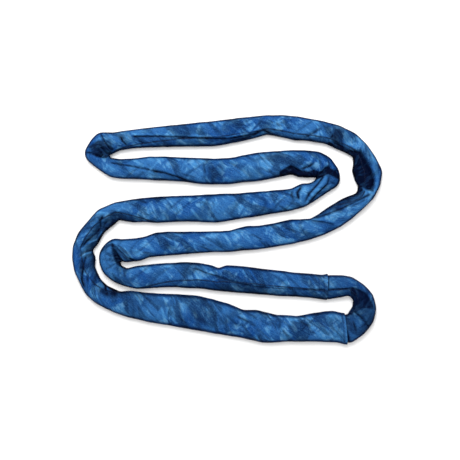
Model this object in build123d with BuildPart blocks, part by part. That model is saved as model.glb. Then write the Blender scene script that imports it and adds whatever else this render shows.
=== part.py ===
"""Polyester round sling, an endless lifting sling laid flat in a doubled S.

Twelve endless yarn hanks carry the load. A woven sleeve covers them from its first hem all
the way round to its second, and a short joint sleeve, tucked under both hems and sewn to
them, bridges the bend between. Millimetres, +Z up. The origin is the middle of the footprint,
on the surface that the sling lies on.
"""

import math
import os

from build123d import *

os.makedirs("parts", exist_ok=True)

# --- Driving dimensions ---------------------------------------------------------------------

SLEEVE_WIDTH = 82.0  # of the filled strand as it lies
SLEEVE_HEIGHT = 40.0
SLEEVE_WALL = 2.0

HEM_LENGTH = 14.0  # the turned-under end of the sleeve
HEM_THICKNESS = 1.0  # how far it stands out above and at each side; below it lies flat

JOINT_WALL = 1.6
JOINT_CLEARANCE = 0.1  # between the joint sleeve and the sleeve it is tucked into
JOINT_TUCK = 35.0  # length of the joint sleeve under each hem

STITCH_WIDTH = 1.0
STITCH_PROUD = 0.4  # how far the thread stands above the hem
STITCH_SUNK = 0.2  # how far it is pressed in below it
STITCH_ROWS = (4.0, 9.0)  # distance of each row from the sleeve's end
STITCH_PITCH = 10.0
STITCH_GAP = 3.5
STITCH_END_ANGLE = 30.0  # the same pitch, round the strand's rounded sides
GAPS_EACH_WAY = 5  # gaps between stitches along a flat face, and round each side

SEAM_OFFSET = 10.0  # from the middle of the strand, to the left of travel
SEAM_GROOVE = 1.0
SEAM_THREAD_RADIUS = 0.45
JOINT_SEAM_THREAD_RADIUS = 0.4
THREAD_CLEARANCE = 0.03

HANK_RADIUS = 5.3
HANK_PITCH = 10.7
HANKS_PER_ROW = 5
HANK_ROW_HEIGHT = 6.8  # of each row above or below the middle of the strand
SIDE_HANK_OFFSET = 30.6  # the single hank at each side, at mid height

TAPE_WALL = 0.8
TAPE_CLEARANCE = 0.2
TAPE_LENGTH = 44.0
TAPE_FROM_HEM = 9.0

MIDDLE = SLEEVE_HEIGHT / 2  # height of the centreline
ROUND_END = (SLEEVE_WIDTH - SLEEVE_HEIGHT) / 2  # centre of each rounded side of the section
ARC_SHARE = 0.45  # share of the shorter run that each arc's tangent takes

# --- Route ----------------------------------------------------------------------------------
# The centreline, seen from above. The sleeve runs from hem 1, on lane 5, round to hem 2, on
# lane 6, and both hems lie on the straight runs beside eye B.

SLEEVE_ROUTE = [
    (280, -196.5), (150, -186), (10, -172), (-112, -155), (-280, -162),  # lane 5
    (-380, -165), (-409, -116), (-381, -67),  # left fold
    (-288, -64), (-125, -44), (114, -28), (272, -2), (384, 54),  # lane 4
    (479, 115), (505, 190), (486, 257), (428, 305),  # right bend
    (343, 336), (242, 355), (102, 359), (-42, 338), (-252, 324), (-362, 314),  # lane 1
    (-427, 310), (-457, 261), (-428, 212),  # eye A
    (-343, 216), (-187, 213), (-42, 200), (114, 218), (240, 237),  # lane 2
    (335, 238), (365, 199), (352, 152),  # right fold
    (268, 121), (156, 95), (-21, 76), (-208, 69), (-358, 71),  # lane 3
    (-431, 36), (-480, -26), (-504, -101), (-492, -169), (-447, -221),  # left bend
    (-366, -261), (-208, -276), (0, -315), (150, -356), (311, -354),  # lane 6
]
EYE_B_ROUTE = [(455, -341), (490, -271), (448, -201)]

HEM_1_FROM_BEND = 97.0  # from eye B's last corner
HEM_2_FROM_BEND = 39.0  # from eye B's first corner


def distance(a, b):
    return math.hypot(b[0] - a[0], b[1] - a[1])


def turn(before, corner, after):
    """Angle in degrees by which the route turns at a corner."""
    arriving = Vector(corner[0] - before[0], corner[1] - before[1])
    leaving = Vector(after[0] - corner[0], after[1] - corner[1])
    return arriving.get_angle(leaving)


def corner_radii(points):
    """The radius at each inner point: as large as the two runs beside it allow."""
    radii = []
    for before, corner, after in zip(points, points[1:], points[2:]):
        shorter = min(distance(before, corner), distance(corner, after))
        half_turn = math.radians(turn(before, corner, after) / 2)
        radii.append(ARC_SHARE * shorter / math.tan(half_turn))
    return radii


def toward(start, end, length):
    """The point that far from start on the straight line to end."""
    share = length / distance(start, end)
    return (start[0] + share * (end[0] - start[0]), start[1] + share * (end[1] - start[1]))


def across(point, ahead):
    """Plane across the route at a point: X to the left of travel, Y up, Z ahead."""
    here, there = Vector(point), Vector(ahead)
    along = (there - here).normalized()
    return Plane(origin=here, x_dir=Vector(-along.Y, along.X), z_dir=along)


hem_1 = toward(EYE_B_ROUTE[-1], SLEEVE_ROUTE[0], HEM_1_FROM_BEND)
hem_2 = toward(EYE_B_ROUTE[0], SLEEVE_ROUTE[-1], HEM_2_FROM_BEND)

# The arcs of the sleeve's route end before its hems. Those of eye B are as large as the runs
# to the corners past the hems allow.
sleeve_radii = corner_radii([hem_1, *SLEEVE_ROUTE, hem_2])
eye_b_radii = corner_radii([SLEEVE_ROUTE[-1], *EYE_B_ROUTE, SLEEVE_ROUTE[0]])

with BuildLine() as ring_path:
    FilletPolyline(
        *SLEEVE_ROUTE, *EYE_B_ROUTE, radius=[*sleeve_radii, *eye_b_radii], close=True
    )

# The sleeve between its two hems.
sleeve_start = toward(hem_1, SLEEVE_ROUTE[0], HEM_LENGTH)
sleeve_end = toward(hem_2, SLEEVE_ROUTE[-1], HEM_LENGTH)
with BuildLine() as sleeve_path:
    FilletPolyline(sleeve_start, *SLEEVE_ROUTE, sleeve_end, radius=sleeve_radii)

# The joint sleeve runs on past both hems, along the same straight runs.
joint_start = toward(hem_2, SLEEVE_ROUTE[-1], JOINT_TUCK)
joint_end = toward(hem_1, SLEEVE_ROUTE[0], JOINT_TUCK)
with BuildLine() as joint_path:
    FilletPolyline(joint_start, *EYE_B_ROUTE, joint_end, radius=eye_b_radii)

hem_1_plane = across(hem_1, SLEEVE_ROUTE[0])
hem_2_plane = across(hem_2, EYE_B_ROUTE[0])
sleeve_plane = across(sleeve_start, SLEEVE_ROUTE[0])
joint_plane = across(joint_start, hem_2)
tape_start = toward(hem_1, EYE_B_ROUTE[-1], TAPE_FROM_HEM + TAPE_LENGTH)
tape_plane = across(tape_start, hem_1)
ring_start = ring_path.wire() @ 0
ring_plane = across(ring_start, ring_start + ring_path.wire() % 0)


def slot(width, height, bottom, mode=Mode.ADD):
    """Section of a strand: flat above and below, rounded at the sides."""
    with Locations((0, bottom + height / 2)):
        SlotOverall(width, height, mode=mode)


def ring(width, height, bottom, wall):
    """Section of a sleeve or tape of constant wall."""
    slot(width, height, bottom)
    slot(width - 2 * wall, height - 2 * wall, bottom + wall, mode=Mode.SUBTRACT)


def seam_groove(top):
    """The pressed-in line along the side seam, where its thread lies."""
    with Locations((SEAM_OFFSET, top - SEAM_GROOVE / 2)):
        Rectangle(SEAM_GROOVE, SEAM_GROOVE, mode=Mode.SUBTRACT)


# --- Hem stitching --------------------------------------------------------------------------
# Each stitch passes through the hem, the sleeve and the joint sleeve.

joint_bottom = SLEEVE_WALL + JOINT_CLEARANCE
joint_width = SLEEVE_WIDTH - 2 * joint_bottom
joint_height = SLEEVE_HEIGHT - 2 * joint_bottom
hem_width = SLEEVE_WIDTH + 2 * HEM_THICKNESS


def stitch_section():
    """Dashes round the strand, sunk into the hem below, so that it still lies flat."""
    stitch_height = SLEEVE_HEIGHT + HEM_THICKNESS + STITCH_PROUD - STITCH_SUNK
    slot(hem_width + 2 * STITCH_PROUD, stitch_height, STITCH_SUNK)
    slot(
        joint_width - 2 * JOINT_WALL,
        joint_height - 2 * JOINT_WALL,
        joint_bottom + JOINT_WALL,
        mode=Mode.SUBTRACT,
    )
    with Locations((0, MIDDLE)):
        with GridLocations(STITCH_PITCH, 0, GAPS_EACH_WAY, 1):
            Rectangle(STITCH_GAP, 2 * SLEEVE_HEIGHT, mode=Mode.SUBTRACT)
    for side, middle_angle in ((ROUND_END, 0), (-ROUND_END, 180)):
        with Locations((side, MIDDLE)):
            with PolarLocations(
                MIDDLE,
                GAPS_EACH_WAY,
                start_angle=middle_angle - (GAPS_EACH_WAY // 2) * STITCH_END_ANGLE,
                angular_range=GAPS_EACH_WAY * STITCH_END_ANGLE,
            ):
                Rectangle(MIDDLE, STITCH_GAP, mode=Mode.SUBTRACT)


with BuildPart() as hem_stitching_1:
    for row in STITCH_ROWS:
        with BuildSketch(hem_1_plane.offset(row)):
            stitch_section()
    extrude(amount=STITCH_WIDTH)

with BuildPart() as hem_stitching_2:
    for row in STITCH_ROWS:
        with BuildSketch(hem_2_plane.offset(-row)):
            stitch_section()
    extrude(amount=-STITCH_WIDTH)

# --- Sleeve ---------------------------------------------------------------------------------

with BuildPart() as sleeve:
    with BuildSketch(sleeve_plane):
        ring(SLEEVE_WIDTH, SLEEVE_HEIGHT, 0, SLEEVE_WALL)
        seam_groove(SLEEVE_HEIGHT)
    sweep(path=sleeve_path.line)
    for hem_plane, hem_length in ((hem_1_plane, HEM_LENGTH), (hem_2_plane, -HEM_LENGTH)):
        with BuildSketch(hem_plane):
            slot(SLEEVE_WIDTH, SLEEVE_HEIGHT, 0)
            slot(hem_width, SLEEVE_HEIGHT, HEM_THICKNESS)
            slot(
                SLEEVE_WIDTH - 2 * SLEEVE_WALL,
                SLEEVE_HEIGHT - 2 * SLEEVE_WALL,
                SLEEVE_WALL,
                mode=Mode.SUBTRACT,
            )
        extrude(amount=hem_length)
    add(hem_stitching_1.part, mode=Mode.SUBTRACT)
    add(hem_stitching_2.part, mode=Mode.SUBTRACT)

with BuildPart() as side_seam_stitching:
    with BuildSketch(sleeve_plane):
        thread_height = SLEEVE_HEIGHT - SEAM_GROOVE + SEAM_THREAD_RADIUS + THREAD_CLEARANCE
        with Locations((SEAM_OFFSET, thread_height)):
            Circle(SEAM_THREAD_RADIUS)
    sweep(path=sleeve_path.line)

# --- Joint sleeve ---------------------------------------------------------------------------

joint_top = joint_bottom + joint_height

with BuildPart() as joint_sleeve:
    with BuildSketch(joint_plane):
        ring(joint_width, joint_height, joint_bottom, JOINT_WALL)
        seam_groove(joint_top)
    sweep(path=joint_path.line)
    add(hem_stitching_1.part, mode=Mode.SUBTRACT)
    add(hem_stitching_2.part, mode=Mode.SUBTRACT)

with BuildPart() as joint_seam_stitching:
    with BuildSketch(joint_plane):
        thread_height = joint_top - SEAM_GROOVE + JOINT_SEAM_THREAD_RADIUS + THREAD_CLEARANCE
        with Locations((SEAM_OFFSET, thread_height)):
            Circle(JOINT_SEAM_THREAD_RADIUS)
    sweep(path=joint_path.line)

# --- Core -----------------------------------------------------------------------------------

row_offsets = [HANK_PITCH * (i - (HANKS_PER_ROW - 1) / 2) for i in range(HANKS_PER_ROW)]
hank_places = (
    [(offset, MIDDLE - HANK_ROW_HEIGHT) for offset in row_offsets]
    + [(offset, MIDDLE + HANK_ROW_HEIGHT) for offset in row_offsets]
    + [(-SIDE_HANK_OFFSET, MIDDLE), (SIDE_HANK_OFFSET, MIDDLE)]
)


def endless_hank(place, label):
    """One closed loop of yarn, at its own place in the section."""
    with BuildPart() as hank:
        with BuildSketch(ring_plane):
            with Locations(place):
                Circle(HANK_RADIUS)
        sweep(path=ring_path.line)
    hank.part.label = label
    return hank.part


hanks = [
    endless_hank(place, f"core_hank_{number:02d}")
    for number, place in enumerate(hank_places, start=1)
]

# The tape binds the hanks where their yarn ends are joined.
tape_bottom = joint_bottom + JOINT_WALL + TAPE_CLEARANCE

with BuildPart() as core_tape:
    with BuildSketch(tape_plane):
        ring(
            SLEEVE_WIDTH - 2 * tape_bottom,
            SLEEVE_HEIGHT - 2 * tape_bottom,
            tape_bottom,
            TAPE_WALL,
        )
    extrude(amount=TAPE_LENGTH)

# --- Export ---------------------------------------------------------------------------------

sleeve.part.label = "sleeve"
joint_sleeve.part.label = "joint_sleeve"
hem_stitching_1.part.label = "hem_stitching_1"
hem_stitching_2.part.label = "hem_stitching_2"
side_seam_stitching.part.label = "side_seam_stitching"
joint_seam_stitching.part.label = "joint_seam_stitching"
core_tape.part.label = "core_tape"

export_step(sleeve.part, "parts/sleeve.step")
export_step(joint_sleeve.part, "parts/joint_sleeve.step")
export_step(hem_stitching_1.part, "parts/hem_stitching_1.step")
export_step(hem_stitching_2.part, "parts/hem_stitching_2.step")
export_step(side_seam_stitching.part, "parts/side_seam_stitching.step")
export_step(joint_seam_stitching.part, "parts/joint_seam_stitching.step")
export_step(core_tape.part, "parts/core_tape.step")
for hank in hanks:
    export_step(hank, f"parts/{hank.label}.step")

# --- Route report ---------------------------------------------------------------------------

for name, corners, radii in (
    ("sleeve", SLEEVE_ROUTE, sleeve_radii),
    ("eye B", EYE_B_ROUTE, eye_b_radii),
):
    for corner, radius in zip(corners, radii):
        print(f"{name} route {corner}: radius {radius:.1f}")

circumference = ring_path.wire().length
hanks_volume = sum(hank.volume for hank in hanks)
hanks_section = len(hanks) * math.pi * HANK_RADIUS**2
print(f"circumference {circumference:.1f}, sleeve {sleeve_path.wire().length:.1f}")
print(f"core volume {hanks_volume:.0f}, section x length {hanks_section * circumference:.0f}")
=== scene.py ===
"""A blue polyester round sling, laid flat in a doubled S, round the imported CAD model."""

import math

import bpy
import numpy as np
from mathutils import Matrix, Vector


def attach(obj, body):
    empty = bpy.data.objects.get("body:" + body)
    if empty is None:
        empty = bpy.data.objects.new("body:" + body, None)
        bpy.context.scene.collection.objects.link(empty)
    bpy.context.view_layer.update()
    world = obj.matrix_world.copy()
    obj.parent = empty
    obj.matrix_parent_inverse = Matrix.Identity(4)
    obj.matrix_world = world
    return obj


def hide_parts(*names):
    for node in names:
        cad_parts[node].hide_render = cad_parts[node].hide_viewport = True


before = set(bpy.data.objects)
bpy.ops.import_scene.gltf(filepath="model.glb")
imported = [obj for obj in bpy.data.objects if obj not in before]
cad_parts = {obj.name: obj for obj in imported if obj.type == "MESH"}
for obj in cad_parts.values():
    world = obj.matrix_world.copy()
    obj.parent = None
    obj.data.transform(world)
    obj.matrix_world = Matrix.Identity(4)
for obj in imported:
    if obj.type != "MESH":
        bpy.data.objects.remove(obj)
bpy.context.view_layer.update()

MM = 0.001

# --- Route: the points of the CAD model's own route, in metres ---

SLEEVE_ROUTE = [
    (0.280, -0.1965), (0.150, -0.186), (0.010, -0.172), (-0.112, -0.155), (-0.280, -0.162),
    (-0.380, -0.165), (-0.409, -0.116), (-0.381, -0.067),
    (-0.288, -0.064), (-0.125, -0.044), (0.114, -0.028), (0.272, -0.002), (0.384, 0.054),
    (0.479, 0.115), (0.505, 0.190), (0.486, 0.257), (0.428, 0.305),
    (0.343, 0.336), (0.242, 0.355), (0.102, 0.359), (-0.042, 0.338), (-0.252, 0.324),
    (-0.362, 0.314), (-0.427, 0.310), (-0.457, 0.261), (-0.428, 0.212),
    (-0.343, 0.216), (-0.187, 0.213), (-0.042, 0.200), (0.114, 0.218), (0.240, 0.237),
    (0.335, 0.238), (0.365, 0.199), (0.352, 0.152),
    (0.268, 0.121), (0.156, 0.095), (-0.021, 0.076), (-0.208, 0.069), (-0.358, 0.071),
    (-0.431, 0.036), (-0.480, -0.026), (-0.504, -0.101), (-0.492, -0.169), (-0.447, -0.221),
    (-0.366, -0.261), (-0.208, -0.276), (0.000, -0.315), (0.150, -0.356), (0.311, -0.354),
]
EYE_B_ROUTE = [(0.455, -0.341), (0.490, -0.271), (0.448, -0.201)]
HEM_1_FROM_BEND = 0.097
HEM_2_FROM_BEND = 0.039
JOINT_TUCK = 0.035

CENTRE_HEIGHT = 0.020
SLEEVE_HEIGHT = 0.039

RINGS_EVERY = 0.0036
TOP_POINTS = 41  # points of a ring on the upper side of the strand
LOW_POINTS = 17  # and on its lower side, without the two they share
EDGE_PASSES = 5  # times the outline is smoothed
MOST_HALF_WIDTH = 0.066  # further from the centreline than this is another lane's outline
OUTLINE_ALLOWANCE = 0.0018  # the outline points below lie this much inside the edge of the cloth


def toward(start, end, length):
    """The point that far from start on the straight line to end."""
    share = length / math.dist(start, end)
    return tuple(a + share * (b - a) for a, b in zip(start, end))


def unit(vectors):
    return vectors / np.linalg.norm(vectors, axis=-1, keepdims=True)


def distances(points):
    """How far along a line of points each of them is."""
    return np.concatenate([[0], np.cumsum(np.linalg.norm(np.diff(points, axis=0), axis=1))])


def columns_at(spots, at, values):
    """Each of the three columns of values, at those distances."""
    return np.stack([np.interp(spots, at, values[:, k]) for k in range(3)], 1)


def placed(name, data):
    thing = bpy.data.objects.new(name, data)
    bpy.context.collection.objects.link(thing)
    return thing


def smooth_piece(name, points, faces):
    mesh = bpy.data.meshes.new(name)
    mesh.from_pydata(points, [], faces)
    mesh.polygons.foreach_set("use_smooth", [True] * len(mesh.polygons))
    return placed(name, mesh)


hem_1 = toward(EYE_B_ROUTE[-1], SLEEVE_ROUTE[0], HEM_1_FROM_BEND)
hem_2 = toward(EYE_B_ROUTE[0], SLEEVE_ROUTE[-1], HEM_2_FROM_BEND)
joint_start = toward(hem_2, SLEEVE_ROUTE[-1], JOINT_TUCK)
joint_end = toward(hem_1, SLEEVE_ROUTE[0], JOINT_TUCK)


# --- Camera, light and floor ---

FRAME_SPAN = 1.605  # metres across the frame at the strand's height
CAMERA_HEIGHT = 3.2
CAMERA_OVER = (0.0122, -0.0017)
WORLD_STRENGTH = 0.5
FLOOR_SIDE = 6.0  # half the floor's width
FLOOR_COLOUR = (0.93, 0.93, 0.93, 1)


def make_camera():
    data = bpy.data.cameras.new("camera")
    camera = placed("camera", data)
    camera.location = (*CAMERA_OVER, CAMERA_HEIGHT)
    data.sensor_fit = "HORIZONTAL"
    data.angle = 2 * math.atan(FRAME_SPAN / 2 / (CAMERA_HEIGHT - CENTRE_HEIGHT))
    data.clip_end = 50
    bpy.context.scene.camera = camera


def area_light(name, place, size, power):
    """A round light that points at the middle of the object."""
    data = bpy.data.lights.new(name, "AREA")
    data.shape = "DISK"
    data.size = size
    data.energy = power
    light = placed(name, data)
    light.location = place
    direction = Vector(np.subtract((0, 0, 0), place))
    light.rotation_euler = direction.to_track_quat("-Z", "Y").to_euler()


def make_stage():
    bpy.context.scene.view_settings.view_transform = "Standard"
    world = bpy.data.worlds.new("studio")
    bpy.context.scene.world = world
    world.use_nodes = True
    background = world.node_tree.nodes["Background"]
    background.inputs["Color"].default_value = (1, 1, 1, 1)
    background.inputs["Strength"].default_value = WORLD_STRENGTH
    area_light("key", place=(-0.4, 2.1, 2.8), size=2.0, power=110)
    area_light("top", place=(0, 0.2, 3.8), size=2.4, power=60)
    mesh = bpy.data.meshes.new("floor")
    signs = [(-1, -1), (1, -1), (1, 1), (-1, 1)]
    mesh.from_pydata([(x * FLOOR_SIDE, y * FLOOR_SIDE, 0) for x, y in signs], [], [(0, 1, 2, 3)])
    mesh.materials.append(plain_material("floor_white", FLOOR_COLOUR, 0.9).material)
    placed("floor", mesh)


# --- Line and frames along it ---


def spline_line(points, name):
    """Points along a smooth curve that the route's points pull on. It cuts their corners."""
    data = bpy.data.curves.new(name, "CURVE")
    data.dimensions = "3D"
    data.resolution_u = 24
    spline = data.splines.new("NURBS")
    spline.points.add(len(points) - 1)
    for point, (x, y) in zip(spline.points, points):
        point.co = (x, y, CENTRE_HEIGHT, 1)
    spline.order_u = 3
    spline.use_endpoint_u = True
    holder = bpy.data.objects.new(name, data)
    mesh = bpy.data.meshes.new_from_object(holder)
    line = np.array([v.co for v in mesh.vertices], float)
    bpy.data.meshes.remove(mesh)
    bpy.data.objects.remove(holder)
    bpy.data.curves.remove(data)
    return line


class Line:
    """A centreline with evenly spaced points, and the directions ahead and to the left."""

    def __init__(self, points, name):
        raw = spline_line(points, name)
        along = distances(raw)
        self.length = float(along[-1])
        count = int(round(self.length / RINGS_EVERY)) + 1
        self.at = np.linspace(0, self.length, count)
        self.points = columns_at(self.at, along, raw)
        self.ahead = unit(smooth_along(np.gradient(self.points, axis=0), 3))
        self.left = np.stack([-self.ahead[:, 1], self.ahead[:, 0], 0 * self.at], 1)


def smooth_along(values, passes):
    """Values averaged with their neighbours, that many times, with the ends repeated."""
    for _ in range(passes):
        padded = np.concatenate([values[:1], values, values[-1:]])
        values = (padded[:-2] + 2 * padded[1:-1] + padded[2:]) / 4
    return values


def through(stations, at):
    """A smooth value along the line, through given (distance, value) stations."""
    places, values = np.array(stations, float).T
    spots = np.clip(np.searchsorted(places, at) - 1, 0, len(places) - 2)
    span = places[spots + 1] - places[spots]
    t = np.clip((at - places[spots]) / span, 0, 1)
    slopes = np.gradient(values, places)
    h00, h10 = 2 * t**3 - 3 * t**2 + 1, t**3 - 2 * t**2 + t
    h01, h11 = -2 * t**3 + 3 * t**2, t**3 - t**2
    return (
        h00 * values[spots]
        + h10 * span * slopes[spots]
        + h01 * values[spots + 1]
        + h11 * span * slopes[spots + 1]
    )


# --- Noise ---

LATTICE = 64


def noise(places, seed):
    """Smooth value noise from -1 to 1 at each place, the same each time."""
    table = np.random.default_rng(seed).random((LATTICE,) * places.shape[1]) * 2 - 1
    cell = np.floor(places).astype(int)
    part = places - cell
    part = part * part * (3 - 2 * part)
    total = 0
    for corner in np.ndindex(*(2,) * places.shape[1]):
        weight = np.prod(np.where(corner, part, 1 - part), axis=1)
        index = tuple(((cell + corner) % LATTICE).T)
        total = total + weight * table[index]
    return total


# --- Shape of the strand ---
# Points along the edges of the strand, in mm from the middle of the object, in order of travel.
# Left and right are those of someone who walks along the strand from hem 1.

LEFT_EDGE = [
    # lane 5
    (351, -245), (286, -236), (169, -229), (53, -221), (-40, -211), (-98, -204), (-168, -200),
    (-226, -200), (-279, -204), (-313, -206),
    # left fold, outside
    (-360, -196), (-395, -181), (-430, -152), (-444, -117), (-444, -82), (-424, -53),
    (-395, -31), (-372, -36), (-325, -33),
    # lane 4
    (-284, -27), (-249, -13), (-203, -9), (-52, -9), (12, -5), (70, 11), (111, 11), (169, 21),
    (227, 33), (294, 37),
    # right bend, inside
    (321, 52), (355, 75), (402, 104), (457, 127), (461, 152), (451, 168), (440, 206),
    (444, 226), (443, 255), (402, 276), (344, 302), (274, 312),
    # lane 1
    (239, 313), (193, 324), (140, 334), (100, 322), (53, 311), (-5, 299), (-40, 294),
    (-98, 291), (-273, 289), (-319, 286),
    # eye A, inside
    (-372, 279), (-411, 260), (-404, 249), (-372, 245),
    # lane 2
    (-331, 247), (-273, 254), (-215, 254), (-156, 251), (-98, 248), (-46, 246), (12, 249),
    (53, 257), (111, 267), (169, 272), (227, 276), (274, 276),
    # right fold, outside
    (326, 270), (361, 249), (390, 209), (396, 174), (390, 155), (355, 133), (309, 101),
    # lane 3
    (274, 81), (227, 68), (169, 58), (111, 49), (53, 40), (-5, 30), (-40, 26), (-98, 28),
    (-162, 28), (-249, 25), (-284, 28), (-331, 27),
    # left bend, inside
    (-377, 35), (-395, 17), (-430, -12), (-453, -53), (-471, -73), (-459, -94),
    (-460, -134), (-441, -175), (-418, -197), (-372, -218),
    # lane 6
    (-331, -217), (-273, -222), (-215, -226), (-98, -234), (-40, -248), (12, -263),
    (59, -283), (105, -283), (140, -291), (175, -300), (251, -304), (297, -294),
    (344, -287), (373, -286), (411, -295),
]
RIGHT_EDGE = [
    # lane 5
    (351, -155), (338, -160), (286, -155), (227, -150), (111, -136), (53, -130), (-5, -127),
    (-28, -137), (-52, -126), (-98, -118), (-156, -116), (-215, -119), (-273, -125),
    # left fold, inside
    (-313, -129), (-348, -137), (-369, -126), (-372, -111), (-348, -112), (-302, -108),
    (-273, -97),
    # lane 4
    (-249, -94), (-215, -91), (-156, -85), (-98, -81), (-40, -77), (12, -76), (53, -72),
    (111, -68), (169, -59), (227, -48), (286, -36), (344, -15), (402, 14),
    # right bend, outside
    (437, 40), (478, 75), (513, 110), (536, 156), (542, 203), (521, 249), (489, 296),
    (449, 334), (396, 361), (321, 380),
    # lane 1
    (257, 392), (198, 398), (140, 397), (82, 391), (-5, 383), (-69, 375), (-156, 366),
    (-244, 356), (-331, 347), (-395, 337),
    # eye A, outside
    (-447, 338), (-471, 313), (-497, 270), (-488, 244), (-447, 212), (-404, 184),
    # lane 2
    (-372, 180), (-313, 177), (-215, 173), (-145, 168), (-98, 162), (-40, 159), (12, 160),
    (53, 166), (111, 171), (158, 180), (187, 184),
    # right fold, inside
    (227, 194), (251, 184), (280, 182), (312, 183), (315, 174), (291, 160), (262, 158),
    (227, 141), (193, 137),
    # lane 3
    (169, 136), (111, 130), (53, 126), (-5, 123), (-98, 119), (-156, 117), (-273, 110),
    (-331, 104),
    # left bend, outside
    (-389, 94), (-447, 69), (-488, 23), (-517, -12), (-536, -59), (-537, -100),
    (-529, -146), (-508, -193), (-491, -225), (-459, -254), (-424, -274),
    # lane 6
    (-389, -289), (-343, -304), (-273, -322), (-203, -332), (-122, -347), (-40, -362),
    (41, -374), (82, -383), (123, -392), (163, -393), (216, -389), (286, -389), (390, -393),
    (414, -400), (428, -402),
]
# The joint sleeve is narrower than the sleeve where it is tucked in, at both ends.
JOINT_LEFT_EDGE = [
    (375, -296), (408, -301), (424, -297), (442, -268), (443, -245), (428, -229), (396, -236),
    (355, -243), (340, -238), (318, -234),
]
JOINT_RIGHT_EDGE = [
    (385, -386), (412, -391), (432, -396), (443, -390), (483, -361), (513, -321), (522, -274),
    (510, -228), (478, -193), (437, -166), (402, -161), (355, -161), (340, -165), (318, -164),
]
# The joint sleeve's height in mm at distances along it in mm. It is lower under the hems.
JOINT_HEIGHT = [(0, 32), (30, 34), (60, 38), (290, 38), (315, 34), (345, 32)]

# --- Creases, set on the strand as it lies, in mm from the middle of the object ---
# Each is a kind, its line, how deep it is, how wide, and how high its lip stands. A valley is the
# same on both sides. A step is an edge of cloth with the right side of its line lower. A ridge
# stands up by its depth.

CREASES = [
    # eye A
    ("valley", [(-439, 336), (-425, 308), (-411, 286), (-398, 272)], 5, 5, 1),
    ("valley", [(-372, 328), (-359, 305), (-340, 287)], 4, 5, 1),
    ("valley", [(-459, 280), (-439, 274), (-429, 261), (-440, 249)], 8, 6, 2),
    ("valley", [(-444, 293), (-424, 272), (-408, 255)], 7, 6, 1),
    ("valley", [(-493, 268), (-471, 266), (-444, 254), (-418, 249)], 4, 5, 1),
    ("valley", [(-409, 233), (-331, 220), (-261, 206), (-209, 196)], 3, 4, 2),
    ("step", [(-261, 203), (-215, 198), (-168, 184), (-130, 169)], 4, 4, 1),
    # lane 2
    ("ridge", [(-225, 249), (-245, 227), (-266, 205)], 2, 5, 0),
    ("ridge", [(-136, 247), (-149, 229), (-156, 208)], 2, 6, 0),
    ("valley", [(-62, 243), (-80, 219), (-71, 188)], 2, 7, 0),
    # lane 1
    ("step", [(-331, 324), (-238, 326), (-145, 322), (-63, 318), (12, 318), (70, 328),
              (105, 338), (130, 347), (161, 333)], 5, 5, 2),
    ("valley", [(-313, 313), (-290, 301), (-270, 296)], 3, 6, 0),
    # left bend
    ("valley", [(-426, 52), (-440, 31), (-438, 8), (-458, -17), (-487, -41), (-503, -68)],
     7, 6, 3),
    ("valley", [(-411, 35), (-425, 17), (-432, -6)], 4, 5, 1),
    ("step", [(-458, -68), (-473, -74), (-493, -80), (-515, -100)], 8, 6, 3),
    ("valley", [(-487, -87), (-498, -126), (-503, -175), (-493, -207)], 4, 5, 2),
    ("valley", [(-475, -137), (-482, -164), (-479, -187)], 3, 6, 0),
    ("valley", [(-461, -117), (-444, -158), (-424, -194), (-417, -223)], 4, 6, 1),
    ("valley", [(-417, -198), (-394, -211), (-369, -221)], 6, 8, 1),
    # left fold
    ("valley", [(-394, -70), (-379, -95), (-373, -117)], 9, 7, 3),
    ("step", [(-389, -56), (-363, -77), (-343, -97), (-313, -108)], 6, 6, 2),
    ("valley", [(-436, -70), (-414, -84), (-388, -98)], 2, 5, 1),
    ("valley", [(-440, -104), (-415, -106), (-386, -108)], 1.5, 5, 1),
    ("valley", [(-425, -142), (-404, -130), (-380, -116)], 2, 5, 1),
    ("valley", [(-385, -172), (-371, -154), (-358, -133)], 1.5, 6, 1),
    # lane 5
    ("step", [(-116, -132), (-63, -152), (12, -175), (47, -187), (105, -197), (193, -204),
              (262, -208), (345, -207)], 3, 4, 2),
    # right bend
    ("valley", [(426, 272), (465, 267), (479, 243), (502, 204), (513, 168), (509, 134)],
     8, 7, 3),
    ("step", [(509, 133), (489, 134), (469, 146)], 7, 6, 2),
    ("valley", [(373, 337), (367, 322), (359, 310)], 4, 5, 1),
    ("valley", [(328, 353), (297, 332), (268, 316)], 3, 6, 1),
    ("valley", [(367, 305), (405, 287), (440, 258)], 5, 7, 0),
    ("valley", [(443, 225), (460, 219), (489, 220)], 3, 6, 0),
    ("valley", [(507, 126), (460, 103), (402, 74), (344, 51), (300, 38)], 3, 6, 1),
    ("valley", [(489, 107), (454, 90), (425, 75)], 2, 5, 0),
    ("step", [(289, 33), (332, 28), (379, 18)], 3, 5, 1),
    # right fold
    ("valley", [(205, 204), (229, 216), (251, 204), (286, 198)], 5, 6, 1),
    ("valley", [(255, 208), (286, 219), (308, 233)], 4, 5, 1),
    ("valley", [(321, 184), (345, 213), (368, 220)], 7, 6, 2),
    ("valley", [(367, 208), (396, 202)], 4, 5, 1),
    ("step", [(280, 85), (312, 123), (350, 159), (357, 191)], 5, 5, 1),
    ("valley", [(343, 192), (321, 161), (286, 122), (273, 91)], 4, 5, 1),
    ("valley", [(351, 168), (373, 161), (393, 156)], 3, 5, 0),
    ("valley", [(264, 155), (246, 128), (252, 99)], 4, 6, 1),
    ("valley", [(229, 139), (226, 119), (234, 97)], 3, 5, 1),
    # lane 6
    ("valley", [(-5, -297), (18, -316), (42, -339)], 2.2, 6, 1),
    ("valley", [(27, -297), (70, -318), (106, -339)], 2.5, 6, 1),
    ("valley", [(58, -281), (82, -297), (111, -310)], 2, 8, 0),
    ("valley", [(169, -300), (187, -321), (182, -350)], 2, 8, 0),
    ("valley", [(245, -304), (268, -326), (297, -338)], 2, 8, 0),
]
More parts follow.
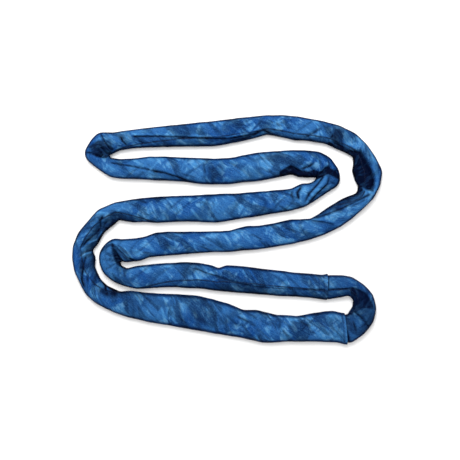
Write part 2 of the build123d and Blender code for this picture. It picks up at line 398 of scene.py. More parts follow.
JOINT_CREASES = [
    ("step", [(340, -207), (402, -205), (438, -202), (460, -212), (482, -224), (501, -255),
              (510, -281)], 4, 4, 2),
    ("valley", [(440, -282), (469, -306), (500, -346)], 6, 4, 2),
    ("valley", [(460, -252), (488, -233)], 4, 4, 2),
    ("valley", [(450, -270), (480, -285), (505, -300)], 2, 5, 0),
    ("valley", [(437, -309), (445, -335), (452, -361)], 3, 5, 0),
]

# Where the cloth is painted darker, as the shade of a fold, or painted lighter, as a highlight on a
# ridge or an edge. A shade or a light is a soft stroke along a line in mm, with its width and how
# strong it is. A face is painted dark all over inside its outline, as a face in shade, with a soft
# rim of that width.

PAINTED_TONES = [
    # eye A
    ("face", [(-476, 287), (-444, 305), (-421, 302), (-395, 281), (-411, 261), (-418, 251),
              (-450, 255)], 5, 0.72),
    ("shade", [(-418, 316), (-395, 284)], 12, 0.6),
    ("shade", [(-453, 279), (-415, 255)], 8, 0.8),
    ("shade", [(-372, 324), (-331, 299)], 10, 0.45),
    # left bend
    ("shade", [(-407, 28), (-453, -41), (-476, -70)], 12, 0.5),
    ("shade", [(-505, -100), (-503, -158), (-491, -204)], 8, 0.5),
    ("shade", [(-447, -204), (-412, -223), (-375, -223)], 13, 0.75),
    ("light", [(-433, -6), (-453, -36), (-488, -50), (-508, -70)], 3, 0.6),
    ("light", [(-500, -88), (-465, -77)], 3, 0.6),
    ("light", [(-476, -100), (-482, -146), (-471, -187)], 6, 0.35),
    # left fold
    ("face", [(-397, -50), (-388, -68), (-373, -94), (-356, -116), (-362, -131), (-380, -120),
              (-389, -94), (-396, -68)], 4, 0.85),
    ("shade", [(-372, -59), (-331, -100)], 6, 0.35),
    ("shade", [(-389, -129), (-360, -146)], 12, 0.5),
    ("light", [(-402, -22), (-389, -46), (-360, -78), (-338, -100)], 3, 0.6),
    # lanes on the left
    ("shade", [(-372, -223), (-238, -234)], 8, 0.4),
    ("shade", [(-220, -41), (-168, -76)], 14, 0.35),
    ("shade", [(-75, 232), (-40, 191)], 16, 0.35),
    ("light", [(-225, 249), (-266, 205)], 2.5, 0.7),
    ("light", [(-136, 247), (-156, 208)], 2.5, 0.6),
    ("light", [(-331, 331), (-238, 329), (-63, 324), (12, 322)], 3, 0.5),
    # right bend
    ("face", [(402, 284), (460, 266), (481, 243), (501, 209), (513, 168), (509, 133), (481, 145),
              (457, 124), (459, 152), (449, 168), (438, 206), (440, 255), (402, 272)], 3, 0.84),
    ("face", [(367, 311), (379, 345), (405, 340), (399, 300), (373, 294)], 6, 0.62),
    ("shade", [(350, 303), (396, 286), (442, 263)], 6, 0.95),
    ("shade", [(367, 311), (402, 337)], 10, 0.7),
    ("shade", [(315, 319), (367, 302)], 9, 0.4),
    ("shade", [(321, 52), (402, 92), (460, 122)], 10, 0.45),
    ("light", [(483, 267), (510, 232), (523, 180), (518, 133)], 8, 0.45),
    ("light", [(473, 144), (507, 124)], 4, 0.6),
    # right fold
    ("face", [(187, 200), (202, 211), (223, 223), (245, 211), (261, 202), (280, 198), (303, 206),
              (322, 200), (342, 202), (357, 213), (381, 200), (394, 176), (373, 184), (354, 194),
              (338, 188), (316, 176), (284, 180), (264, 180), (229, 193), (210, 194),
              (187, 187)], 3, 0.88),
    ("light", [(347, 186), (312, 139), (277, 95)], 6, 0.5),
    # lane 1 on the right
    ("light", [(-5, 319), (65, 334), (108, 350)], 3, 0.6),
    ("shade", [(6, 308), (70, 320), (117, 340)], 6, 0.8),
    # lane 6 and hem 2
    ("shade", [(367, -297), (402, -350)], 14, 0.35),
    ("shade", [(402, -293), (407, -345), (410, -392)], 2.5, 0.5),
    ("light", [(408, -298), (414, -345), (419, -392)], 2.5, 0.4),
    # hem 1
    ("shade", [(338, -160), (341, -240)], 2, 0.4),
    ("shade", [(18, -326), (47, -332)], 10, 0.3),
]
JOINT_PAINTED_TONES = [
    ("face", [(431, -206), (444, -205), (482, -224), (501, -255), (507, -272), (470, -268),
              (446, -286), (442, -268), (443, -245)], 6, 0.80),
    ("face", [(446, -262), (507, -272), (505, -300), (494, -335), (469, -306), (443, -287)],
     9, 0.45),
    ("shade", [(449, -250), (444, -280), (428, -300)], 7, 0.8),
    ("shade", [(447, -289), (469, -306), (494, -338)], 3, 0.9),
    ("shade", [(500, -262), (507, -303), (472, -350)], 16, 0.45),
    ("light", [(419, -175), (460, -190), (489, -216)], 8, 0.3),
]

# At distances in mm from hem 1, how much the strand is folded along its length, from a dome (0) to
# a flat top with one sloping face (1), and where across it the edge between the two is, from the
# right (-1) to the left (1).

FACET = [
    (0, 0.55), (450, 0.55), (560, 0.2), (700, 0), (1560, 0), (1660, 0.9), (1900, 1.0),
    (2050, 0.45), (2300, 0.55), (2600, 0.6), (2750, 0.3), (2850, 0.1), (4400, 0.1), (4480, 0.8),
    (4700, 0.8), (4850, 0.4), (5000, 0), (5718, 0),
]
FACET_EDGE = [
    (0, 0.25), (450, 0.30), (600, 0.2), (1560, 0.4), (1660, 0.1), (1760, 0.25), (1900, 0.3),
    (2050, 0.55), (2300, 0.45), (2600, 0.2), (4400, 0.3), (4480, 0.0), (4700, -0.1),
    (4850, 0.3), (5718, 0.3),
]

# Where the lengthwise seam runs across the strand. It rolls under at the left side in between.

SEAM = [
    (0, 0.27), (450, 0.32), (560, 0.55), (680, 1.0), (1600, 1.0), (1680, 0.35), (1760, 0.25),
    (1900, 0.35), (2050, 0.50), (2300, 0.42), (2560, 0.35), (2700, 0.7), (2800, 1.0),
    (4360, 1.0), (4480, 0.2), (4700, -0.1), (4820, 0.4), (4930, 1.0), (5718, 1.0),
]
JOINT_FOLD = 0.6
JOINT_FOLD_EDGE = 0.22
JOINT_SEAM = [(0, 1.0), (60, 0.95), (150, 0.6), (260, 0.22), (345, 0.27)]


def to_edge(line, outline, side):
    """How far the edge is from the centreline at each ring, to the left (1) or right (-1)."""
    corners = np.array(outline) * MM
    start, step = corners[:-1], np.diff(corners, axis=0)
    ray = side * line.left[:, None, :2]
    offset = start - line.points[:, None, :2]
    spread = ray[..., 0] * step[:, 1] - ray[..., 1] * step[:, 0]
    away = (offset[..., 0] * step[:, 1] - offset[..., 1] * step[:, 0]) / spread
    share = (offset[..., 0] * ray[..., 1] - offset[..., 1] * ray[..., 0]) / spread
    away[(share < 0) | (share > 1) | (away < 0) | (away > MOST_HALF_WIDTH)] = np.inf
    nearest = away.min(axis=1)
    met = np.isfinite(nearest)
    everywhere = np.interp(line.at, line.at[met], nearest[met])
    return smooth_along(everywhere, EDGE_PASSES) + OUTLINE_ALLOWANCE


def top_profile(across, fold, edge):
    """Share of the height over the waist, across the top of a strand."""
    dome = (1 - np.abs(across) ** 2.3) ** 0.62
    plateau = (1 - np.abs(across) ** 5) ** 0.6
    slope = np.clip((across - edge) / (1 - edge), 0, 1)
    face = np.where(across > edge, 1 - 0.78 * slope**0.9, 1.0)
    folded = np.minimum(plateau, face) * (1 - np.clip(across, 0, 1) ** 12) ** 0.5
    return dome * (1 - fold) + folded * fold


def ring_places():
    """Places across the strand (right -1, left 1) round one ring, and whether each is on top."""
    top = np.cos(np.linspace(0, math.pi, TOP_POINTS))
    low = np.cos(np.linspace(math.pi, 2 * math.pi, LOW_POINTS + 2))[1:-1]
    half = len(low) // 2
    across = np.concatenate([low[half:], top, low[:half]])
    on_top = np.concatenate([np.zeros(len(low) - half), np.ones(len(top)), np.zeros(half)])
    return across, on_top > 0


STRETCH = 0.08  # metres along the strand past a drawn line's ends where it still acts


def reach(places, along, line, points, margin):
    """Which places are near a drawn line, how far from it in mm, on which side, how far along
    it, and its length. Only places on the same stretch of the strand count."""
    points = np.array(points, float)
    gaps = np.linalg.norm(line.points[:, None, :2] * 1000 - points[None], axis=2).argmin(0)
    first, last = line.at[gaps].min() - STRETCH, line.at[gaps].max() + STRETCH
    low, high = points.min(0) - margin, points.max(0) + margin
    near = np.all((places > low) & (places < high), axis=1) & (along > first) & (along < last)
    near = np.flatnonzero(near)
    best = np.full(len(near), 1e9)
    side = np.zeros(len(near))
    share = np.zeros(len(near))
    total = np.linalg.norm(np.diff(points, axis=0), axis=1).sum()
    run = 0.0
    for a, b in zip(points[:-1], points[1:]):
        step = b - a
        size = np.linalg.norm(step)
        offset = places[near] - a
        t = np.clip(offset @ step / size**2, 0, 1)
        away = offset - t[:, None] * step
        dist = np.linalg.norm(away, axis=1)
        closer = dist < best
        best[closer] = dist[closer]
        side[closer] = np.sign(step[0] * away[:, 1] - step[1] * away[:, 0])[closer]
        share[closer] = ((run + t * size) / total)[closer]
        run += size
    return near, best, side, share, total


CREASE_FADE = 14  # mm over which a crease dies out at each end


def crease_moves(places, along, line, creases):
    """How far each place rises for the creases, in mm, and how much (to 1) it is painted with the
    shade of one.
    """
    rise = np.zeros(len(places))
    painted_crease_shade = np.zeros(len(places))
    for kind, points, depth, width, lip in creases:
        near, best, side, share, total = reach(places, along, line, points, 5 * width)
        fade = np.clip(np.minimum(share, 1 - share) * total / CREASE_FADE, 0, 1) ** 0.7
        if kind == "valley":
            cut = np.exp(-((best / (0.8 * width)) ** 2))
            move = -1.4 * depth * cut + lip * np.exp(-(((best - 2.2 * width) / width) ** 2))
        elif kind == "ridge":
            cut = 0 * best
            move = depth * np.exp(-((best / width) ** 2))
        else:
            low = np.exp(-best / (1.6 * width))
            cut = np.where(side < 0, low, np.exp(-((best / 1.5) ** 2)))
            lifted = lip * np.exp(-((best / (1.5 * width)) ** 2))
            lifted = lifted - (depth + lip) * np.exp(-((best / 2) ** 2))
            move = np.where(side < 0, -1.4 * depth * np.exp(-best / (2.5 * width)), lifted)
        rise[near] += move * fade
        # Painted shade: the inside of a crease is marked dark.
        painted_crease_shade[near] = np.maximum(painted_crease_shade[near], cut * fade * min(1, depth / 4))
    return rise, painted_crease_shade


def inside(places, outline):
    """Which places are inside a closed outline."""
    odd = np.zeros(len(places), bool)
    x, y = places.T
    for (ax, ay), (bx, by) in zip(outline[:-1], outline[1:]):
        if ay != by:
            odd ^= ((ay > y) != (by > y)) & (x < ax + (bx - ax) * (y - ay) / (by - ay))
    return odd


def tone_marks(places, along, line, tones):
    """How much painted shade (to 1) and painted highlight (to 1) each place is marked with."""
    dark, light = np.zeros(len(places)), np.zeros(len(places))
    for kind, points, width, strength in tones:
        if kind == "face":
            points = [*points, points[0]]
        near, best, _, share, total = reach(places, along, line, points, 3 * width)
        if kind == "face":
            fade = 1
            best = np.where(inside(places[near], points), 0, best)
        else:
            fade = np.clip(0.25 + np.minimum(share, 1 - share) * total / (1.2 * width), 0, 1)
        mark = strength * fade * np.exp(-((best / width) ** 2.5))
        marks = light if kind == "light" else dark
        marks[near] = np.maximum(marks[near], mark)
    return dark, light


WAIST = 0.40  # height of the widest place of the strand, as a share of its height
WRINKLE_SLANT = 0.9  # radians
RING_ROUND = 0.24  # metres round a sleeve in its UV map


def lay_strand(line, widths, height, fold, edge, seam, creases, tones, seed, rough=1.0):
    """The grid of points of a strand's skin, its painted shade and highlights, and how near its
    edge.

    Places across the strand (q, x) go from its right to its left, and at is along it in mm.
    """
    right, left = widths
    across, on_top = ring_places()
    rings, count = len(line.at), len(across)
    at = np.repeat(line.at * 1000, count)
    q = np.tile(across, rings)
    top = np.tile(on_top, rings)

    def wide(values):
        return np.repeat(values, count)

    from_end = np.minimum(line.at, line.length - line.at)
    rough = rough * wide(np.clip(0.15 + from_end / 0.08, 0, 1))

    # Width and height, each with slow bulges.
    spots = np.stack([at / 55, q * 0.6], 1)
    finer = np.stack([at / 17, q * 1.5], 1)
    middle, half = (left - right) / 2, (left + right) / 2
    bulge = 1 + rough * (0.035 * noise(spots, seed) + 0.012 * noise(finer, seed + 1))
    x = wide(middle) + wide(half) * q * bulge
    h = wide(height) * 1000 * (1 + rough * 0.05 * noise(spots + 9.3, seed + 2))
    waist = WAIST * h
    profile = top_profile(q, wide(fold), wide(edge))
    low = 1 - (1 - np.abs(q) ** 5) ** 0.6
    z = np.where(top, waist + (h - waist) * profile, waist * low)
    offset = np.repeat(line.left[:, :2], count, axis=0) * x[:, None]
    flat = np.repeat(line.points[:, :2], count, axis=0) + offset
    rise, painted_crease_shade = crease_moves(flat * 1000, at / 1000, line, creases)
    # Painted shade and painted highlights from the tone strokes and faces.
    dusk, painted_highlight = tone_marks(flat * 1000, at / 1000, line, tones)

    # Wrinkles are lines where a slanted noise passes through 0. There are two slants.
    xm = x * 1000
    ahead, aside = at * math.cos(WRINKLE_SLANT), xm * math.sin(WRINKLE_SLANT)
    one = noise(np.stack([(ahead + aside) / 26, (aside - ahead) / 95], 1), seed + 3)
    two = noise(np.stack([(ahead - aside) / 31, (aside + ahead) / 120], 1), seed + 4)
    choose = noise(np.stack([at / 130, xm / 120], 1), seed + 5)
    wrinkle = np.where(choose > 0, np.exp(-((one / 0.16) ** 2)), np.exp(-((two / 0.16) ** 2)))
    wrinkle = wrinkle * np.clip(np.abs(choose) * 5, 0, 1)
    soft = noise(np.stack([at / 38, xm / 30], 1), seed + 6)
    small = noise(np.stack([at / 11, xm / 9], 1), seed + 7)
    rise = rise + rough * (-2.8 * wrinkle + 2.0 * soft + 0.45 * small)

    # Pleats on the inside of a bend, deeper the tighter it is.
    turning = np.gradient(np.unwrap(np.arctan2(line.ahead[:, 1], line.ahead[:, 0])), line.at)
    turning = smooth_along(turning, 40)
    inner = np.clip(wide(turning) / 18 * q, 0, 1)
    pleat = np.abs(noise(np.stack([at / 15, 0 * at + 0.3], 1), seed + 8))
    rise = rise - 5.0 * inner * (0.25 + np.exp(-((pleat / 0.2) ** 2)))

    # The lengthwise seam is a groove, where it isn't rolled under.
    from_seam = (q - wide(seam)) * wide(half) * 1000
    groove = np.exp(-((from_seam / 1.6) ** 2)) * (q < 0.93)
    seam_shade = np.exp(-((from_seam / 2.4) ** 2)) * (q < 0.93)
    rise = rise - groove

    # The lower side keeps its shape, and so does the strand's outline.
    keep = np.where(top, np.clip(profile * 1.6, 0, 1), 0)
    least = np.minimum(z, 0.55 * h)
    z = np.maximum(z + rise * keep, least)

    # Painted shade and highlights for the material: 1 is the darkest painted shade, and below 0 is
    # a painted highlight, lighter than plain cloth.
    # Painted shade on the sloping face of a folded strand.
    painted_slope_shade = np.clip((q - wide(edge)) / (1 - wide(edge)), 0, 1) ** 0.4 * wide(fold)
    # Painted shade in crease hollows, along wrinkles, in the seam groove, on the sloped face, in
    # the pleats inside a bend, and in the tone strokes and faces.
    marks = [painted_crease_shade, 0.35 * wrinkle * rough, 0.9 * seam_shade, 0.85 * painted_slope_shade, 0.5 * inner, dusk]
    shade = (np.clip(1.15 * np.max(marks, axis=0), 0, 1) - painted_highlight) * np.where(top, 1, 0)
    # Painted shade on the flanks: on top it grows towards the edge, and on the lower side it stays
    # high, a little less near the floor.
    brink = np.where(top, np.abs(q), 0.87 + 0.13 * np.clip(z / waist, 0, 1) ** 4)
    points = np.stack([flat[:, 0], flat[:, 1], z * MM], 1).reshape(rings, count, 3)
    return points, shade.reshape(rings, count), brink.reshape(rings, count)


# --- Meshes ---


def tube_mesh(name, points, at, shade, brink, round_length=RING_ROUND):
    """A tube from a grid of points, ring by ring, with a UV map in metres and its shading marks."""
    rings, count = points.shape[:2]
    index = np.arange(rings * count).reshape(rings, count)
    following = np.roll(index, -1, axis=1)
    quads = np.stack([index[:-1], following[:-1], following[1:], index[1:]], -1).reshape(-1, 4)
    piece = smooth_piece(name, points.reshape(-1, 3).tolist(), quads.tolist())
    around = np.arange(count + 1) * round_length / count
    u = np.broadcast_to(at[:, None], (rings, count + 1))
    v = np.broadcast_to(around[None, :], (rings, count + 1))
    grid = np.stack([u, v], -1)
    uv = np.stack([grid[:-1, :-1], grid[:-1, 1:], grid[1:, 1:], grid[1:, :-1]], 2)
    layer = piece.data.uv_layers.new(name="fabric")
    layer.data.foreach_set("uv", uv.astype(np.float32).ravel())
    # One mark carries the painted shade and painted highlights, the other how near the edge each
    # place is.
    for label, values in (("painted_shade_and_light", shade), ("brink", brink)):
        mark = piece.data.attributes.new(label, "FLOAT", "POINT")
        mark.data.foreach_set("value", values.astype(np.float32).ravel())
    return piece


# --- Materials ---


class Nodes:
    """Short ways to add nodes to a material and join them."""

    def __init__(self, name):
        self.material = bpy.data.materials.new(name)
        self.material.use_nodes = True
        self.tree = self.material.node_tree
        self.shader = self.tree.nodes["Principled BSDF"]

    def add(self, kind, **values):
        node = self.tree.nodes.new(kind)
        for key, value in values.items():
            setattr(node, key, value)
        return node

    def give(self, value, socket):
        if isinstance(value, bpy.types.NodeSocket):
            self.tree.links.new(value, socket)
        else:
            socket.default_value = value

    def fill(self, node, **sockets):
        """Give a node's inputs their values or links. An underscore stands for a space."""
        for label, value in sockets.items():
            self.give(value, node.inputs[label.replace("_", " ")])
        return node

    def math(self, operation, a, b=0.0, clamp=False):
        node = self.add("ShaderNodeMath", operation=operation, use_clamp=clamp)
        self.give(a, node.inputs[0])
        self.give(b, node.inputs[1])
        return node.outputs[0]

    def span(self, value, low, high, to_low=0.0, to_high=1.0):
        node = self.add("ShaderNodeMapRange", interpolation_type="SMOOTHSTEP")
        self.fill(node, Value=value, From_Min=low, From_Max=high, To_Min=to_low, To_Max=to_high)
        return node.outputs["Result"]

    def mix(self, share, a, b, blend="MIX"):
        """Colour b over colour a, by that share. A mix node's colour sockets are 6, 7 and 2."""
        node = self.add("ShaderNodeMix", data_type="RGBA", blend_type=blend)
        self.give(share, node.inputs[0])
        self.give(a, node.inputs[6])
        self.give(b, node.inputs[7])
        return node.outputs[2]

    def bump(self, height, strength, distance):
        node = self.add("ShaderNodeBump")
        return self.fill(node, Height=height, Strength=strength, Distance=distance)

    def turned(self, vector, angle, stretch=1.0):
        """The same place, turned, and stretched that many times along its new second axis."""
        node = self.add("ShaderNodeMapping", vector_type="TEXTURE")
        turn = (0, 0, math.radians(angle))
        self.fill(node, Vector=vector, Rotation=turn, Scale=(1, stretch, 1))
        return node.outputs["Vector"]

    def noise(self, vector, scale, detail=2.0, rough=0.5, distort=0.0):
        node = self.add("ShaderNodeTexNoise", noise_dimensions="2D")
        self.fill(node, Vector=vector, Scale=scale, Detail=detail, Roughness=rough)
        self.fill(node, Distortion=distort)
        return node.outputs["Fac"]

    def wave(self, vector, scale):
        node = self.add("ShaderNodeTexWave", wave_type="BANDS", bands_direction="X")
        return self.fill(node, Vector=vector, Scale=scale).outputs["Fac"]


# The cloth's colours, from the darkest painted shade in a fold to the brightest fleck, a painted
# glint of sheen.
NIGHT = (0.0002, 0.0022, 0.014, 1)
DEEP = (0.0006, 0.0070, 0.038, 1)
MID = (0.0032, 0.046, 0.205, 1)
LIGHT = (0.066, 0.262, 0.550, 1)
GLINT = (0.170, 0.380, 0.600, 1)
# Painted shade on the strand's flanks: EDGE_SHADE is multiplied into the colour there.
EDGE_SHADE = (0.10, 0.15, 0.22, 1)  # the share of its colour that the cloth keeps on its flanks

YARN_COLOUR = (0.78, 0.77, 0.72, 1)
TAPE_COLOUR = (0.62, 0.60, 0.52, 1)
THREAD_COLOUR = (0.004, 0.014, 0.050, 1)


def plain_material(name, colour, roughness):
    n = Nodes(name)
    n.fill(n.shader, Base_Color=colour, Roughness=roughness)
    return n


def fabric_material(name, shift, dusk=0.0):
    """Blue woven polyester with satin patches, painted lighter as sheen, on a slant across the
    strand.

    Shift moves the pattern along in metres, and dusk is how much darker the whole cloth is.
    """
    n = Nodes(name)
    uv = n.add("ShaderNodeUVMap", uv_map="fabric").outputs["UV"]
    move = n.fill(n.add("ShaderNodeMapping"), Vector=uv, Location=(shift, 0, 0))
    place = move.outputs["Vector"]

    # Painted sheen: patches where bands on two slants cross, and flecks inside them. Then the grain
    # of the weave.
    slant = n.turned(place, -32, 2.6)
    other = n.turned(place, 38, 2.2)
    bands = n.span(n.noise(slant, 24, 3, 0.6, 0.5), 0.44, 0.60)
    breaks = n.span(n.noise(other, 20, 3, 0.6, 0.4), 0.38, 0.56)
    fibres = n.noise(n.turned(place, -55, 7), 210, 3, 0.65, 0.4)
    sheen_patch = n.math("MULTIPLY", bands, breaks)
    sheen_flecks = n.span(n.noise(slant, 95, 3, 0.6, 0.5), 0.48, 0.60)
    broad = n.noise(other, 8, 2, 0.5, 0.2)
    grain = n.noise(place, 260, 3, 0.75)
    colour = n.mix(n.span(broad, 0.30, 0.75, 0.0, 0.30), MID, LIGHT)
    colour = n.mix(n.math("MULTIPLY", sheen_patch, 0.60), colour, LIGHT)
    colour = n.mix(n.math("MULTIPLY", sheen_flecks, n.span(sheen_patch, 0, 1, 0.05, 0.36)), colour, GLINT)
    dark = n.span(n.noise(slant, 15, 3, 0.6, 0.5), 0.49, 0.62, 0.0, 0.68)
    colour = n.mix(dark, colour, DEEP)
    colour = n.mix(n.span(grain, 0.48, 0.70, 0.0, 0.26), colour, LIGHT)
    colour = n.mix(n.span(fibres, 0.48, 0.72, 0.0, 0.14), colour, LIGHT)
    colour = n.mix(n.span(fibres, 0.55, 0.34, 0.0, 0.18), colour, DEEP)
    colour = n.mix(n.span(grain, 0.50, 0.32, 0.0, 0.30), colour, DEEP)

    # Painted light and shade that the mesh carries: painted shade above 0, painted highlight below
    # 0, and painted shade on the flanks.
    mark = n.add("ShaderNodeAttribute", attribute_name="painted_shade_and_light").outputs["Fac"]
    uneven = n.span(n.noise(slant, 60, 3, 0.65, 0.3), 0.38, 0.62, 1.08, 0.86)
    # Painted highlight where the mark is below 0, painted shade where it is above, made uneven by a
    # noise.
    painted_shade_and_light = n.math("MULTIPLY", mark, uneven)
    colour = n.mix(n.math("MULTIPLY", painted_shade_and_light, -0.55, True), colour, LIGHT)
    colour = n.mix(n.math("MULTIPLY", painted_shade_and_light, 1.05, True), colour, NIGHT)
    # Painted shade on the flanks, multiplied in where the edge mark is high.
    brink = n.add("ShaderNodeAttribute", attribute_name="brink").outputs["Fac"]
    colour = n.mix(n.span(brink, 0.74, 0.92, 0.0, 1.0), colour, EDGE_SHADE, "MULTIPLY")
    if dusk:
        colour = n.mix(dusk, colour, DEEP)
    n.fill(n.shader, Base_Color=colour, Roughness=n.span(sheen_patch, 0, 1, 0.68, 0.52))
    n.fill(n.shader, Specular_IOR_Level=0.03)

    # Twill and grain over fine crumples.
    twill = n.wave(n.turned(place, 45), 160)
    weave = n.bump(n.math("ADD", twill, n.math("MULTIPLY", grain, 2.0)), 0.22, 0.0006)
    crush = n.bump(n.noise(slant, 55, 3, 0.55, 0.6), 0.6, 0.004)
    n.fill(weave, Normal=crush.outputs["Normal"])
    n.fill(n.shader, Normal=weave.outputs["Normal"])
    return n.material


def yarn_material(name, colour, twist):
    """Twisted yarn or woven tape. The higher the twist, the finer its ribs."""
    n = plain_material(name, colour, 0.55)
    uv = n.add("ShaderNodeUVMap", uv_map="fabric").outputs["UV"]
    ribs = n.bump(n.wave(n.turned(uv, 30), twist), 0.5, 0.001)
    n.fill(n.shader, Sheen_Weight=0.2, Normal=ribs.outputs["Normal"])
    return n.material


# --- Hems ---

HEM_RINGS = [(0.975, 0.0012, 0.0), (0.94, 0.0, 0.5), (0.93, -0.012, 1.0)]


def hem(points, shade, brink, at, end):
    """The grid with its cloth turned in at one end (0 or -1), as a sewn hem is.

    Each ring turned in has its size, how far past the end it is in metres, and its added shade.
    """
    ring = points[end]
    centre = ring.mean(0)
    past = unit(ring - points[1 if end == 0 else -2])
    extra = np.stack([centre + (ring - centre) * size + past * far for size, far, _ in HEM_RINGS])
    dark = np.stack([shade[end] + added for _, _, added in HEM_RINGS])
    high = np.repeat(brink[end][None], len(HEM_RINGS), 0)
    spots = np.full(len(HEM_RINGS), at[end])
    grids = [(points, extra), (shade, dark), (brink, high), (at, spots)]
    if end == 0:
        return tuple(np.concatenate([added[::-1], grid]) for grid, added in grids)
    return tuple(np.concatenate([grid, added]) for grid, added in grids)


# --- Core ---

CORE_EVERY = 5  # the core's rings are at every fifth ring of the sleeves
CORE_PASSES = 6
CORE_CLOSING = 0.02  # from the loop's last ring to its first, in the UV map
HANK_RADIUS = 0.0044
HANK_SIDES = 10
HANK_MARGIN = 0.009  # the hanks' centres are at least this far inside the sleeve's edges
HANK_ROUND = 0.03  # metres round a hank in its UV map
# Where each hank lies: across the strand, right (-1) to left (1), and its height in mm.
HANK_PLACES = [(q, z) for z in (6.0, 13.8) for q in (-0.66, -0.33, 0.0, 0.33, 0.66)]
HANK_PLACES += [(-0.93, 10.0), (0.93, 10.0)]
TAPE_FROM, TAPE_TO = 0.053, 0.009  # metres before the place where the joint goes under hem 1
TAPE_OUTER, TAPE_INNER = 0.88, 0.86  # shares of the joint sleeve's size


def round_and_round(values, passes):
    """Values of a closed loop averaged with their neighbours, that many times."""
    for _ in range(passes):
        values = (np.roll(values, 1) + 2 * values + np.roll(values, -1)) / 4
    return values


# --- Stitches ---

STITCH_POINTS = 5
STITCH_TAPER = (0.25, 0.85, 1.0, 0.85, 0.25)  # share of the thread's radius at each point
STITCH_SIDES = 6
STITCH_LIFT = 0.0002
HEM_THREAD, SEAM_THREAD = 0.00045, 0.0004  # radii
HEM_START, HEM_PITCH, HEM_STITCH = 0.002, 0.0070, 0.0048
SEAM_PITCH, SEAM_STITCH = 0.0055, 0.0040
HEM_ROWS = (0.004, 0.009)  # distances from the end of the cloth
SEAM_HIDDEN = 0.9  # nearer the strand's left side than this, the seam is rolled under
FLOOR_GAP = 0.002  # stitches lower than this, against the floor, are left out


def dashes(name, tracks, radius, colour):
    """Short stitches, each along its own few points, as one piece."""
    points, faces = [], []
    sizes = np.array(STITCH_TAPER) * radius
    around = np.arange(STITCH_SIDES) * 2 * math.pi / STITCH_SIDES
    across, upward = np.cos(around)[None, :, None], np.sin(around)[None, :, None]
    for track, up in tracks:
        ahead = unit(np.gradient(track, axis=0))
        aside = unit(np.cross(ahead, up))
        over = np.cross(aside, ahead)
        ring = aside[:, None] * across + over[:, None] * upward
        ring = ring * sizes[:, None, None] + track[:, None]
        first = len(points)
        points.extend(ring.reshape(-1, 3).tolist())
        rows = (first + np.arange(ring.shape[0] * STITCH_SIDES)).reshape(-1, STITCH_SIDES)
        beside = np.roll(rows, -1, axis=1)
        quads = np.stack([rows[:-1], beside[:-1], beside[1:], rows[1:]], -1)
        faces.extend(quads.reshape(-1, 4).tolist())
        faces.append(rows[0][::-1].tolist())
        faces.append(rows[-1].tolist())
    piece = smooth_piece(name, points, faces)
    piece.data.materials.append(colour)
    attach(piece, "root")
    return piece


def outward(grid):
    """The way out of the cloth at each point of a grid."""
    along = np.gradient(grid, axis=0)
    around = np.roll(grid, -1, axis=1) - np.roll(grid, 1, axis=1)
    out = np.cross(along, around)
    out /= np.linalg.norm(out, axis=2)[..., None] + 1e-12
    centre = grid.mean(1, keepdims=True)
    flip = np.sign(np.sum(out * (grid - centre), axis=2).mean())
    return out * flip


def hem_tracks(grid, at, rows):
    """Stitches round a hem: rows are distances along the line, in metres."""
    ways = outward(grid)
    tracks = []
    for row in rows:
        i = int(np.abs(at - row).argmin())
        ring = np.concatenate([grid[i], grid[i][:1]])
        out = np.concatenate([ways[i], ways[i][:1]])
        run = distances(ring)
        for start in np.arange(HEM_START, run[-1] - HEM_STITCH, HEM_PITCH):
            spots = np.linspace(start, start + HEM_STITCH, STITCH_POINTS)
            track, up = columns_at(spots, run, ring), columns_at(spots, run, out)
            if track[:, 2].min() > FLOOR_GAP:
                tracks.append((track + up * STITCH_LIFT, up))
    return tracks


def seam_tracks(grid, at, seam, first, last):
    """Stitches of a lengthwise seam, where it is in sight on top of the strand."""
    across, on_top = ring_places()
    tops = np.nonzero(on_top)[0]
    order = tops[np.argsort(across[tops])]
    ways = outward(grid)
    line = np.array([columns_at([q], across[order], row[order])[0] for q, row in zip(seam, grid)])
    out = np.array([columns_at([q], across[order], row[order])[0] for q, row in zip(seam, ways)])
    tracks = []
    for start in np.arange(first, last - SEAM_STITCH, SEAM_PITCH):
        if np.interp(start, at, seam) > SEAM_HIDDEN:
            continue
        spots = np.linspace(start, start + SEAM_STITCH, STITCH_POINTS)
        track, up = columns_at(spots, at, line), columns_at(spots, at, out)
        tracks.append((track + up * STITCH_LIFT, up))
    return tracks


# --- The object ---

make_camera()
make_stage()

# The long sleeve, from hem 1 round to hem 2.
sleeve_line = Line([hem_1, *SLEEVE_ROUTE, hem_2], "sleeve_line")
right = to_edge(sleeve_line, RIGHT_EDGE, -1)
left = to_edge(sleeve_line, LEFT_EDGE, 1)
height = np.full_like(right, SLEEVE_HEIGHT)
fold = np.clip(through(FACET, sleeve_line.at / MM), 0, 1)
edge = through(FACET_EDGE, sleeve_line.at / MM)
seam = through(SEAM, sleeve_line.at / MM)
skin = lay_strand(sleeve_line, (right, left), height, fold, edge, seam, CREASES, PAINTED_TONES, 11)
points, shade, brink, at = hem(*skin, sleeve_line.at, 0)
points, shade, brink, at = hem(points, shade, brink, at, -1)
sleeve = tube_mesh("sling_sleeve", points, at, shade, brink)
sleeve.data.materials.append(fabric_material("sleeve_fabric", 0.0))
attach(sleeve, "root")
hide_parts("sleeve")

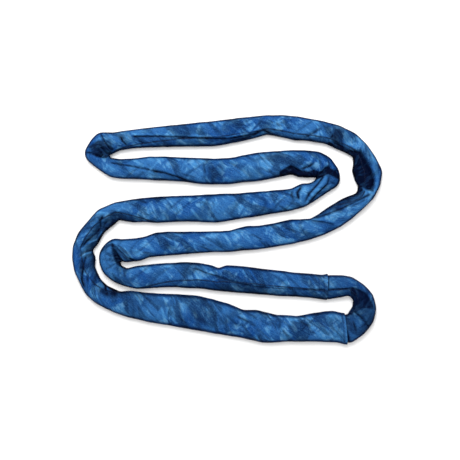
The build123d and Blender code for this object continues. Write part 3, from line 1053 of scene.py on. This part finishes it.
# The joint sleeve, in shade where it meets the hems.
joint_line = Line([joint_start, *EYE_B_ROUTE, joint_end], "joint_line")
count = len(joint_line.at)
joint_fold, joint_edge = np.full(count, JOINT_FOLD), np.full(count, JOINT_FOLD_EDGE)
joint_right = to_edge(joint_line, JOINT_RIGHT_EDGE, -1)
joint_left = to_edge(joint_line, JOINT_LEFT_EDGE, 1)
joint_seam = through(JOINT_SEAM, joint_line.at / MM)
joint_height = through(JOINT_HEIGHT, joint_line.at / MM) * MM
joint_skin = lay_strand(joint_line, (joint_right, joint_left), joint_height, joint_fold,
                        joint_edge, joint_seam, JOINT_CREASES, JOINT_PAINTED_TONES, 31, 0.6)
joint_open = JOINT_TUCK, joint_line.length - JOINT_TUCK
past_hem = np.minimum(joint_line.at - joint_open[0], joint_open[1] - joint_line.at)
contact = np.where(past_hem < 0, 1, np.exp(-((past_hem / 0.005) ** 2)))[:, None]
joint_shade = np.maximum(joint_skin[1], contact)
joint = tube_mesh("sling_joint_sleeve", joint_skin[0], joint_line.at, joint_shade, joint_skin[2])
joint.data.materials.append(fabric_material("joint_fabric", 3.1, 0.32))
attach(joint, "root")
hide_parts("joint_sleeve")

# The core: a closed loop of hanks through both sleeves, in two rows and one at each side.
in_open = (joint_line.at > joint_open[0]) & (joint_line.at < joint_open[1])
loop, loop_left, to_right, to_left = (
    np.concatenate([along_sleeve, along_joint[in_open]])[::CORE_EVERY]
    for along_sleeve, along_joint in (
        (sleeve_line.points[:, :2], joint_line.points[:, :2]),
        (sleeve_line.left[:, :2], joint_line.left[:, :2]),
        (right, joint_right),
        (left, joint_left),
    )
)
middle = round_and_round((to_left - to_right) / 2, CORE_PASSES)
half = round_and_round((to_left + to_right) / 2, CORE_PASSES)
loop_at = distances(loop)
hank_at = np.append(loop_at, loop_at[-1] + CORE_CLOSING)
around = np.arange(HANK_SIDES) * 2 * math.pi / HANK_SIDES
yarn = yarn_material("core_yarn", YARN_COLOUR, 300)
for number, (q, z) in enumerate(HANK_PLACES, 1):
    offset = middle + q * (half - HANK_MARGIN)
    centre = loop + loop_left * offset[:, None]
    side = loop_left[:, None, :] * (HANK_RADIUS * np.cos(around))[None, :, None]
    flat = centre[:, None, :] + side
    up = np.broadcast_to(z * MM + HANK_RADIUS * np.sin(around), flat.shape[:2])
    grid = np.concatenate([flat, up[..., None]], 2)
    grid = np.concatenate([grid, grid[:1]])
    name = f"core_hank_{number:02d}"
    zero = np.zeros(grid.shape[:2])
    hank = tube_mesh("sling_" + name, grid, hank_at, zero, zero, round_length=HANK_ROUND)
    hank.data.materials.append(yarn)
    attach(hank, "root")
    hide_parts(name)

# Stitches round both hems and along both seams.
total = sleeve_line.length
sewn = {
    "hem_stitching_1": hem_tracks(skin[0], sleeve_line.at, HEM_ROWS),
    "hem_stitching_2": hem_tracks(skin[0], sleeve_line.at, [total - row for row in HEM_ROWS]),
    "side_seam_stitching": seam_tracks(skin[0], sleeve_line.at, seam, 0.012, total - 0.012),
    "joint_seam_stitching": seam_tracks(joint_skin[0], joint_line.at, joint_seam,
                                        joint_open[0] + 0.004, joint_open[1] - 0.004),
}
thread = plain_material("thread", THREAD_COLOUR, 0.5).material
for name, tracks in sewn.items():
    radius = HEM_THREAD if name.startswith("hem") else SEAM_THREAD
    dashes("sling_" + name, tracks, radius, thread)
    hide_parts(name)

# The tape that holds the ends of the core yarns, closed round the hanks just inside the joint.
span = (joint_line.at > joint_open[1] - TAPE_FROM) & (joint_line.at < joint_open[1] - TAPE_TO)
band = joint_skin[0][span]
band_middle = band.mean(1, keepdims=True)
outer = band_middle + (band - band_middle) * TAPE_OUTER
inner = band_middle + (band - band_middle) * TAPE_INNER
shell = np.concatenate([outer, inner[::-1], outer[:1]])
shell_at = np.arange(len(shell)) * RINGS_EVERY
zero = np.zeros(shell.shape[:2])
tape = tube_mesh("sling_core_tape", shell, shell_at, zero, zero)
tape.data.materials.append(yarn_material("tape", TAPE_COLOUR, 120))
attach(tape, "root")
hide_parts("core_tape")
